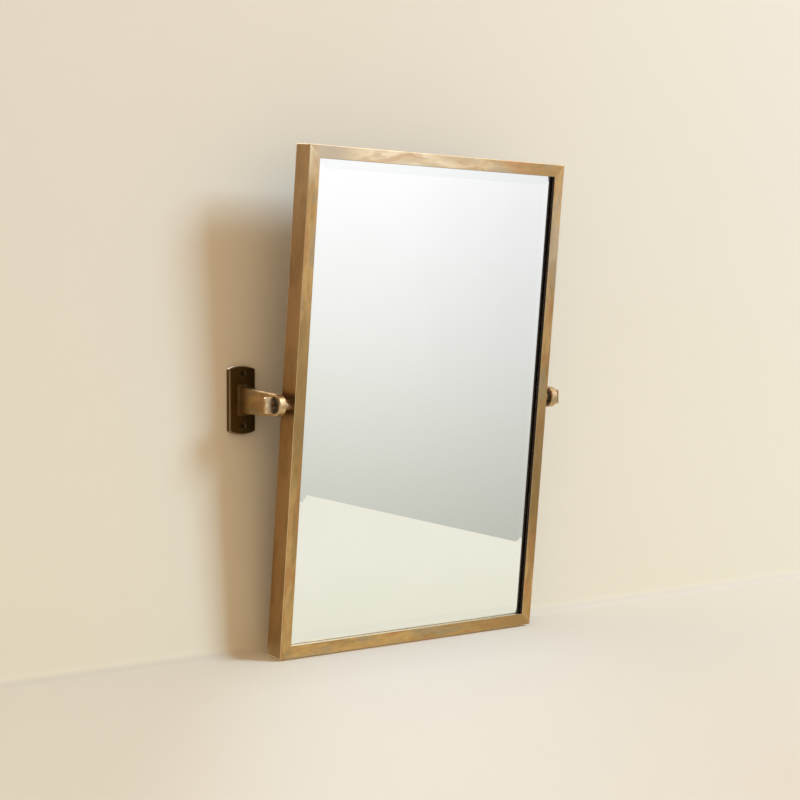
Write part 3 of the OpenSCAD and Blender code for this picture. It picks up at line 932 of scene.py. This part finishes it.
@dataclass
class MirrorPanel:
    """The tilting part: the framed mirror and everything that is fixed to it."""

    tilt: float = math.radians(6.0)
    silver_t: float = 0.05 * MM
    silver_inset: float = 0.3 * MM
    pivot: Vector = field(default_factory=lambda: Vector(frame["joints"][0]["pos_m"]))
    # Painted shade under the top rail, a painted highlight on the bottom rail's face towards the glass, and
    # a greyer tone for the top rail's left end
    underside_shade: Colour = (0.20, 0.155, 0.075)
    upside_highlight: Colour = (0.90, 0.78, 0.56)
    grey_brown: Colour = (0.50, 0.41, 0.30)

    def place(self) -> Matrix:
        """From the mirror's own axes to the row's, at rest."""
        return Matrix.Translation(self.pivot) @ Matrix.Rotation(self.tilt, 4, "X")

    def own_box(self, node: str) -> tuple[Vector, Vector]:
        """Measures a node in the mirror's own axes.

        Args:
            node: The node's name.

        Returns:
            Its lowest and highest corners.
        """
        back = self.place().inverted()
        corners = [back @ v.co for v in frame["nodes"][node].data.vertices]
        low = Vector(min(c[i] for c in corners) for i in range(3))
        high = Vector(max(c[i] for c in corners) for i in range(3))
        return low, high

    def silvering(self) -> bpy.types.Object:
        """Makes the silver layer, just in front of the glass's back.

        Returns:
            The layer.
        """
        low, high = self.own_box("mirror_glass")
        size = Vector((high.x - low.x, self.silver_t, high.z - low.z))
        size -= Vector((2 * self.silver_inset, 0, 2 * self.silver_inset))
        middle = Vector(((low.x + high.x) / 2, high.y - self.silver_inset, (low.z + high.z) / 2))
        bm = bmesh.new()
        bmesh.ops.create_cube(bm, size=1.0, matrix=Matrix.Translation(middle) @ Matrix.Diagonal((*size, 1)))
        bmesh.ops.transform(bm, matrix=self.place(), verts=bm.verts)
        return piece_from(bm, "silvering", "mirror_frame", SILVER)

    def dress_bar(self, bar: str, grain: Grain, seed: float, **tones: Any) -> None:
        """Dresses one bar of the frame in a pattern of its own.

        Args:
            bar: The bar's node.
            grain: The way that it was rubbed.
            seed: What sets its pattern apart.
            tones: Other fields of the finish.
        """
        own_axes = {"place": tuple(self.pivot), "tilt": self.tilt}
        dress_node(bar, AgedBrass(f"aged_brass_{bar}", grain=grain, seed=seed, **own_axes, **tones))

    def dress_rails(self) -> None:
        """Dresses the top rail, with a painted highlight but for its greyer left end and painted shade on
        its face towards the glass, and the bottom rail, with a painted highlight on its face towards the
        glass and darker at its right.
        """
        self.dress_bar(
            "rail_top",
            Grain.ALONG_X,
            seed=0.7,
            inward=(0.0, 0.0, -1.0),
            inner=self.underside_shade,
            matt_inner=True,
            rubbed_spot=Spot(x=-0.065, z=0.372, reach=0.31, share=0.78),
            dull_spot=Spot(x=-0.215, z=0.375, reach=0.07, share=1.0),
            dull=self.grey_brown,
        )
        self.dress_bar(
            "rail_bottom",
            Grain.ALONG_X,
            seed=4.2,
            inward=(0.0, 0.0, 1.0),
            inner=self.upside_highlight,
            dull_spot=Spot(x=0.27, z=-0.37, reach=0.26, share=0.9),
        )

    def dress_stiles(self) -> None:
        """Dresses the stiles, whose outer sides are a browner patina darkened further as painted shade,
        whose inner sides are painted dark as shade and matt, and whose fronts carry a painted highlight.
        """
        shared = {"matt_inner": True, "flank_share": 0.85}
        self.dress_bar(
            "stile_left",
            Grain.ALONG_Z,
            seed=2.9,
            inward=(1.0, 0.0, 0.0),
            rubbed_spot=Spot(x=-0.25, z=0.39, reach=0.085, share=0.9),
            dull_spot=Spot(x=-0.25, z=0.03, reach=0.17, share=0.75),
            tone=0.90,
            **shared,
        )
        self.dress_bar(
            "stile_right",
            Grain.ALONG_Z,
            seed=6.1,
            inward=(-1.0, 0.0, 0.0),
            rubbed_spot=Spot(x=0.25, z=0.25, reach=0.14, share=0.25),
            dull_spot=Spot(x=0.25, z=-0.09, reach=0.12, share=0.7),
            tone=0.95,
            **shared,
        )

    def build(self) -> None:
        """Makes the silvering and dresses the frame, the glass and what is behind it."""
        self.silvering()
        dress_node("mirror_glass", ClearGlass("clear_glass", tilt=self.tilt))
        self.dress_rails()
        self.dress_stiles()
        plain = {
            "corner_keys": ZINC,
            "foam_sheet": FOAM,
            "backing_board": BOARD,
            "retaining_clips": ZINC,
            "clip_screws": ZINC,
            "bumper_pads": RUBBER,
        }
        for node, finish in plain.items():
            dress_node(node, finish)
        for side in Side:
            dress_node(f"pivot_insert_{side.word}", STEEL)
            dress_node(f"spacer_{side.word}", hardware(side, "spacer", 0.262))


@dataclass
class WallScrew:
    """A countersunk screw with a cross recess, drawn along +Y with the face of its head at y = 0."""

    head_dia: float = 10.4 * MM
    rim: float = 0.4 * MM
    shank_dia: float = 5.0 * MM
    length: float = 7.6 * MM
    slot: float = 1.3 * MM
    cross: float = 5.2 * MM
    cross_depth: float = 1.6 * MM
    cross_taper: float = 0.72
    segments: int = 48

    def add_to(self, bm: bmesh.types.BMesh, place: Vector) -> None:
        """Adds the screw to a bmesh.

        Args:
            bm: The bmesh.
            place: Where the middle of its head's face goes.
        """
        own = bmesh.new()
        taper = (self.head_dia - self.shank_dia) / 2
        self._disc(own)
        self._draw_out(own, 0.0, self.rim, 1.0)
        self._draw_out(own, self.rim, taper, self.shank_dia / self.head_dia)
        self._draw_out(own, self.rim + taper, self.length - taper - self.rim, 1.0)
        self._disc(own)
        bmesh.ops.remove_doubles(own, verts=own.verts, dist=TOUCHING)
        self._cut_cross(own)
        bmesh.ops.translate(own, verts=own.verts, vec=place)
        mesh = bpy.data.meshes.new("wall_screw")
        own.to_mesh(mesh)
        own.free()
        bm.from_mesh(mesh)
        bpy.data.meshes.remove(mesh)

    def _disc(self, bm: bmesh.types.BMesh) -> None:
        """Adds the head's round face."""
        turn = Matrix.Rotation(-math.pi / 2, 4, "X")
        radius = self.head_dia / 2
        bmesh.ops.create_circle(bm, cap_ends=True, segments=self.segments, radius=radius, matrix=turn)

    @staticmethod
    def _faces_at(bm: bmesh.types.BMesh, depth: float) -> list[bmesh.types.BMFace]:
        """The faces that lie flat at a depth."""
        return [f for f in bm.faces if all(abs(v.co.y - depth) < ON_FACE for v in f.verts)]

    def _draw_out(self, bm: bmesh.types.BMesh, depth: float, run: float, scale: float) -> None:
        """Draws the cap at a depth further in, with its new end at a scale of the old one."""
        draw_faces(bm, self._faces_at(bm, depth), (0.0, run, 0.0), scale)

    def _cut_cross(self, bm: bmesh.types.BMesh) -> None:
        """Sinks a cross into the head's face."""
        half, arm = self.slot / 2, self.cross / 2
        for axis in (Vector((1, 0, 0)), Vector((0, 0, 1))):
            for cut in (-arm, -half, half, arm):
                geom = list({g for f in self._faces_at(bm, 0.0) for g in (f, *f.edges, *f.verts)})
                bmesh.ops.bisect_plane(bm, geom=geom, plane_co=axis * cut, plane_no=axis, dist=TOUCHING)
        sunk = [f for f in self._faces_at(bm, 0.0) if self._in_cross(f)]
        draw_faces(bm, sunk, (0.0, self.cross_depth, 0.0), self.cross_taper)

    def _in_cross(self, face: bmesh.types.BMFace) -> bool:
        """Whether a face of the head lies within the cross.

        Args:
            face: The face.

        Returns:
            True if it does.
        """
        middle = face.calc_center_median()
        narrow, wide = sorted((abs(middle.x), abs(middle.z)))
        return narrow < self.slot / 2 and wide < self.cross / 2


@dataclass
class Bracket:
    """A wall bracket: the plate, the arm, what its eye holds and its two wall screws."""

    side: Side
    screw_spacing: float = 79.0 * MM
    screw_sunk: float = 0.25 * MM

    def wall_screws(self) -> bpy.types.Object:
        """Makes the two wall screws, sunk just below the plate's face.

        Returns:
            The screws, as one piece.
        """
        low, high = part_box(f"wall_plate_{self.side.word}")
        middle = (low[0] + high[0]) / 2
        bm = bmesh.new()
        for end in (-1, 1):
            height = end * self.screw_spacing / 2
            WallScrew().add_to(bm, Vector((middle, low[1] + self.screw_sunk, height)))
        return piece_from(bm, f"wall_screws_{self.side.word}", "wall_brackets", DARK_SCREW)

    def arm_finish(self) -> AgedBrass:
        """The arm's brass, with a painted highlight behind the paddle and painted shade towards the plate.
        """
        return AgedBrass(
            f"aged_brass_arm_{self.side.word}",
            grain=Grain.ALONG_Y,
            patch=20 * MM,
            seed=3.4,
            tone=0.85,
            edge_wear_and_highlight=0.2,
            roughness=0.38,
            # A painted highlight on the eye behind the paddle
            rubbed_spot=Spot(x=self.side.value * 0.275, z=0.003, reach=0.020, share=0.5),
            # Painted shade towards the plate
            root=Band(-0.042, -0.010, 0.45),
        )

    def build(self) -> None:
        """Makes the wall screws and dresses the bracket's nodes."""
        self.wall_screws()
        finishes = {
            "arm": self.arm_finish(),
            "wall_plate": DARK_PLATE,
            "arm_screws": STEEL,
            "bushing": NYLON,
            "inner_washer": FIBRE,
            "outer_washer": FIBRE,
        }
        for node, finish in finishes.items():
            dress_node(f"{node}_{self.side.word}", finish)


@dataclass
class ThumbScrew:
    """A thumb screw with its paddle."""

    side: Side
    neck: Colour = (0.11, 0.055, 0.025)

    def build(self) -> None:
        """Dresses the screw, whose neck is dark where no hand rubs it."""
        neck = Spot(x=self.side.value * 0.2815, z=-0.005, reach=0.0055, share=0.95)
        finish = hardware(self.side, "thumb_screw", 0.289, dull=self.neck, dull_spot=neck)
        dress_node(f"thumb_screw_{self.side.word}", finish)


# ---------------------------------------------------------------- stage, lights and camera


@dataclass
class Stage:
    """The plain wall and floor, joined by a small cove."""

    # The heights over which the wall's tone rises, and the shares of the cove's over which it turns
    # into the floor's
    WALL_RISE: ClassVar[Band] = Band(-0.45, 0.50)
    COVE_TURN: ClassVar[tuple[float, float]] = (0.95, 0.28)
    # Where the floor's tones change, by the distance across the photograph's line of sight and along Y
    PAST_LEFT: ClassVar[Band] = Band(-0.30, 0.02)
    BEFORE_RIGHT: ClassVar[Band] = Band(0.50, 0.05)
    BEFORE_WALL: ClassVar[Band] = Band(-0.03, -0.30)
    MIRRORED_RUN: ClassVar[Band] = Band(-0.55, 0.0)

    # The wall is painted brighter low down and the floor darker at the left and paler in front of the
    # object, as painted light and shade; the mirrored floor is painted darker near the wall as shade
    wall_low: Colour = (0.885, 0.797, 0.645)
    wall_high: Colour = (0.836, 0.754, 0.638)
    ground: Colour = (0.765, 0.69, 0.593)
    ground_left: Colour = (0.705, 0.63, 0.52)
    ground_middle: Colour = (0.80, 0.75, 0.675)
    mirrored_far: Colour = (0.895, 0.868, 0.755)
    mirrored_near: Colour = (0.84, 0.81, 0.67)
    across: Way = (0.78, -0.63, 0.0)
    thrown_back: float = 0.65
    cove: float = 18 * MM
    cove_steps: int = 14
    reach: float = 4.0

    def _ground(self, net: ShaderNet, where: Wire) -> Wire:
        """The floor's tone, with painted shade at the left and painted light just in front of the object.

        Args:
            net: Where the nodes are made.
            where: The place on the floor.

        Returns:
            The colour.
        """
        across = net.along(where, self.across)
        from_left = net.share(across, self.PAST_LEFT)
        ahead = net.share(net.parts(where)[1], self.BEFORE_WALL)
        middle = from_left * net.share(across, self.BEFORE_RIGHT) * ahead
        colour = net.mix(from_left, self.ground_left, self.ground)
        return net.mix(middle, colour, self.ground_middle)

    def paint(self) -> bpy.types.Material:
        """Mixes a matt paint that is see-through from behind, so that it hides nothing in a back view.

        The wall's tone turns into the floor's round the cove, and the wall is painted brighter low down as
        painted light. The mirror and the metal show the floor as a pale glowing background, painted darker
        near the wall as shade, and the floor throws back a part of its light on to the wall.

        Returns:
            The paint.
        """
        made, net = new_material("wall_paint")
        where, _ = net.coordinates()
        _, y, z = net.parts(where)
        turn = Band(*(self.cove * share for share in self.COVE_TURN))
        low = net.share(z - FLOOR_Z, turn)
        # The wall's paint is brighter low down, as painted light
        wall = net.mix(net.share(z, self.WALL_RISE), self.wall_low, self.wall_high)
        colour = net.mix(low, wall, self._ground(net, where))
        colour = net.mix((1 - self.thrown_back) * low * net.ray("Is Diffuse Ray"), colour, BLACK)
        matt = net.wire(net.node("ShaderNodeBsdfDiffuse", sockets={"Color": colour, "Roughness": 0.5}))
        # The floor seen in the mirror glows, painted darker near the wall as shade
        plain = net.glow(net.mix(net.share(y, self.MIRRORED_RUN), self.mirrored_far, self.mirrored_near))
        front = net.blend(net.seen_in_gloss() * low, matt, plain)
        behind = net.wire(net.node("ShaderNodeNewGeometry"), "Backfacing")
        net.surface(net.blend(behind, front, net.clear()))
        return made

    def wall_and_floor(self, paint: bpy.types.Material) -> bpy.types.Object:
        """Makes the wall and the floor in front of it.

        Args:
            paint: What they are painted with.

        Returns:
            Both, as one sheet.
        """
        r, foot = self.reach, FLOOR_Z + self.cove
        bm = bmesh.new()
        ends = [bm.verts.new((x, 0.0, foot)) for x in (-r, r)]
        line = bm.edges.new(ends)
        turned = bmesh.ops.spin(
            bm,
            geom=[*ends, line],
            cent=(0.0, -self.cove, foot),
            axis=(1.0, 0.0, 0.0),
            angle=-math.pi / 2,
            steps=self.cove_steps,
        )
        last = [g for g in turned["geom_last"] if isinstance(g, bmesh.types.BMEdge)]
        draw_edges(bm, last, (0.0, -r, 0.0))
        draw_edges(bm, [line], (0.0, 0.0, r))
        bmesh.ops.recalc_face_normals(bm, faces=bm.faces)
        if max(bm.faces, key=lambda f: f.calc_center_median().z).normal.y > 0:
            bmesh.ops.reverse_faces(bm, faces=bm.faces)
        return staged(bm, "wall_and_floor", paint)

    def floor_behind(self, paint: bpy.types.Material) -> bpy.types.Object:
        """Makes the floor behind the wall, for the views from there.

        Args:
            paint: What it is painted with.

        Returns:
            The floor.
        """
        r = self.reach
        bm = bmesh.new()
        line = bm.edges.new([bm.verts.new((x, -self.cove, FLOOR_Z)) for x in (-r, r)])
        draw_edges(bm, [line], (0.0, r, 0.0))
        bm.normal_update()
        if bm.faces[:][0].normal.z < 0:
            bmesh.ops.reverse_faces(bm, faces=bm.faces)
        return staged(bm, "floor_behind", paint)

    def build(self) -> None:
        """Stages the wall and both floors."""
        paint = self.paint()
        self.wall_and_floor(paint)
        self.floor_behind(paint)


@dataclass
class LightCard:
    """The tall light card that stands on the floor and shows in the mirror alone."""

    # Its light, by the height above the floor
    DIP: ClassVar[Band] = Band(0.30, 0.75, 0.07)
    GLARE: ClassVar[Band] = Band(0.70, 1.30)
    WHITENS: ClassVar[Band] = Band(0.0, 0.6)
    # Its dimmer near end, by the run from there
    NEAR_END: ClassVar[Band] = Band(1.0, 0.30, 0.24)

    start: Vector = field(default_factory=lambda: Vector((0.864, 0.0, 0.0)))
    run: Vector = field(default_factory=lambda: Vector((-0.5346, -0.8451, 0.0)).normalized())
    length: float = 1.75
    top: float = 1.9
    fade_start: float = 0.55
    fade_end: float = 0.05
    foot: Colour = (1.0, 1.0, 0.90)
    low: float = 0.655
    rise: float = 0.74

    def light(self) -> bpy.types.Material:
        """Makes light that grows with height and fades out at the card's far end.

        Returns:
            The material.
        """
        made, net = new_material("light_card")
        where, _ = net.coordinates()
        height = net.parts(where)[2] - FLOOR_Z
        run = net.along(where, tuple(self.run)) - self.start.dot(self.run)
        even = self.low + height * self.rise - net.share(height, self.DIP)
        strength = (even + net.share(height, self.GLARE)) * (1 - net.share(run, self.NEAR_END))
        colour = net.mix(net.share(height, self.WHITENS), self.foot, WHITE)
        fade = net.share(run, Band(self.length - self.fade_start, self.length - self.fade_end))
        net.surface(net.blend(fade, net.glow(colour, strength), net.clear()))
        return made

    def build(self) -> None:
        """Stages the card."""
        near, far = self.start, self.start + self.run * self.length
        bm = bmesh.new()
        foot = bm.edges.new([bm.verts.new((end.x, end.y, FLOOR_Z)) for end in (near, far)])
        draw_edges(bm, [foot], (0.0, 0.0, self.top - FLOOR_Z))
        card = staged(bm, "light_card", self.light())
        card.visible_camera = False
        card.visible_diffuse = False
        card.visible_shadow = False
        card.visible_volume_scatter = False


@dataclass(frozen=True)
class Lamp:
    """A square lamp that looks at the object. Its azimuth is 0 in front and grows to the right."""

    name: str
    azimuth: float
    elevation: float
    distance: float
    size: float
    power: float
    colour: Colour

    def build(self) -> bpy.types.Object:
        """Makes the lamp.

        Returns:
            Its object.
        """
        lamp = bpy.data.lights.new(self.name, "AREA")
        lamp.shape = "SQUARE"
        lamp.size = self.size
        lamp.energy = self.power
        lamp.color = self.colour
        turn, lift = math.radians(self.azimuth), math.radians(self.elevation)
        way = Vector((math.sin(turn) * math.cos(lift), -math.cos(turn) * math.cos(lift), math.sin(lift)))
        made = bpy.data.objects.new(self.name, lamp)
        made.location = way * self.distance
        made.rotation_euler = (-way).to_track_quat("-Z", "Y").to_euler()
        bpy.context.scene.collection.objects.link(made)
        return made


@dataclass
class Lights:
    """The soft key from the upper right, its glint on the metal, the lamp behind the wall and the world."""

    OVERHEAD: ClassVar[Band] = Band(0.05, 0.75)

    key: Lamp = Lamp("key", 34.0, 34.0, 7.0, 2.3, 455.0, (0.49, 0.75, 1.0))
    glint: Lamp = Lamp("glint", 34.0, 34.0, 7.0, 2.3, 130.0, (1.0, 0.93, 0.82))
    behind: Lamp = Lamp("behind", 180.0, 25.0, 2.5, 2.0, 46.0, (0.85, 0.92, 1.0))
    fill: Colour = (0.85, 0.652, 0.436)
    glossy_low: Colour = (0.50, 0.47, 0.42)
    glossy_high: Colour = (0.16, 0.145, 0.12)
    backdrop: Colour = (0.86, 0.80, 0.70)

    @staticmethod
    def reach_only(lamp: bpy.types.Object, pieces: Iterable[bpy.types.Object]) -> None:
        """Lets a lamp light these pieces alone, and lets them alone block it.

        Args:
            lamp: The lamp.
            pieces: The pieces.
        """
        group = bpy.data.collections.new(f"reached_by_{lamp.name}")
        for piece in pieces:
            group.objects.link(piece)
        lamp.light_linking.receiver_collection = group
        lamp.light_linking.blocker_collection = group

    def world(self) -> None:
        """Makes a warm fill. Metal and glass see it darker overhead, and the camera a pale backdrop."""
        world = bpy.data.worlds.new("studio")
        bpy.context.scene.world = world
        world.use_nodes = True
        net = ShaderNet(world.node_tree)
        direction = net.wire(net.node("ShaderNodeTexCoord"), "Generated")
        overhead = net.share(net.parts(direction)[2], self.OVERHEAD)
        glossy = net.mix(overhead, self.glossy_low, self.glossy_high)
        colour = net.mix(net.seen_in_gloss(), self.fill, glossy)
        colour = net.mix(net.ray("Is Camera Ray"), colour, self.backdrop)
        light = net.wire(net.node("ShaderNodeBackground", sockets={"Color": colour, "Strength": 1.0}))
        net.surface(light, "ShaderNodeOutputWorld")

    def build(self, pieces: Iterable[bpy.types.Object]) -> None:
        """Places the lamps and the world.

        Args:
            pieces: What the lamp behind the wall lights.
        """
        self.key.build().visible_glossy = False
        self.glint.build().visible_diffuse = False
        self.reach_only(self.behind.build(), pieces)
        self.world()


@dataclass
class PhotoView:
    """The camera, at the photograph's place and angle."""

    place: Vector = field(default_factory=lambda: Vector((-1.6993, -2.1504, 0.09815)))
    yaw: float = math.radians(38.893)
    pitch: float = math.radians(2.193)
    lens: float = 76.845
    sensor: float = 36.0

    def build(self) -> None:
        """Makes the camera and gives it to the scene."""
        data = bpy.data.cameras.new("photo_view")
        data.lens = self.lens
        data.sensor_width = self.sensor
        made = bpy.data.objects.new("photo_view", data)
        made.location = self.place
        made.rotation_euler = (math.pi / 2 - self.pitch, 0.0, -self.yaw)
        bpy.context.scene.collection.objects.link(made)
        bpy.context.scene.camera = made


def main() -> None:
    """Builds the view, the object, its lights and the stage."""
    logging.basicConfig(level=logging.INFO, format="%(name)s: %(message)s")
    bpy.context.scene.view_settings.view_transform = "Standard"
    PhotoView().build()
    MirrorPanel().build()
    for side in Side:
        Bracket(side).build()
        ThumbScrew(side).build()
    pieces = [o for o in bpy.context.scene.objects if o.type == "MESH"]
    Lights().build(pieces)
    Stage().build()
    LightCard().build()


if __name__ == "__main__":
    main()
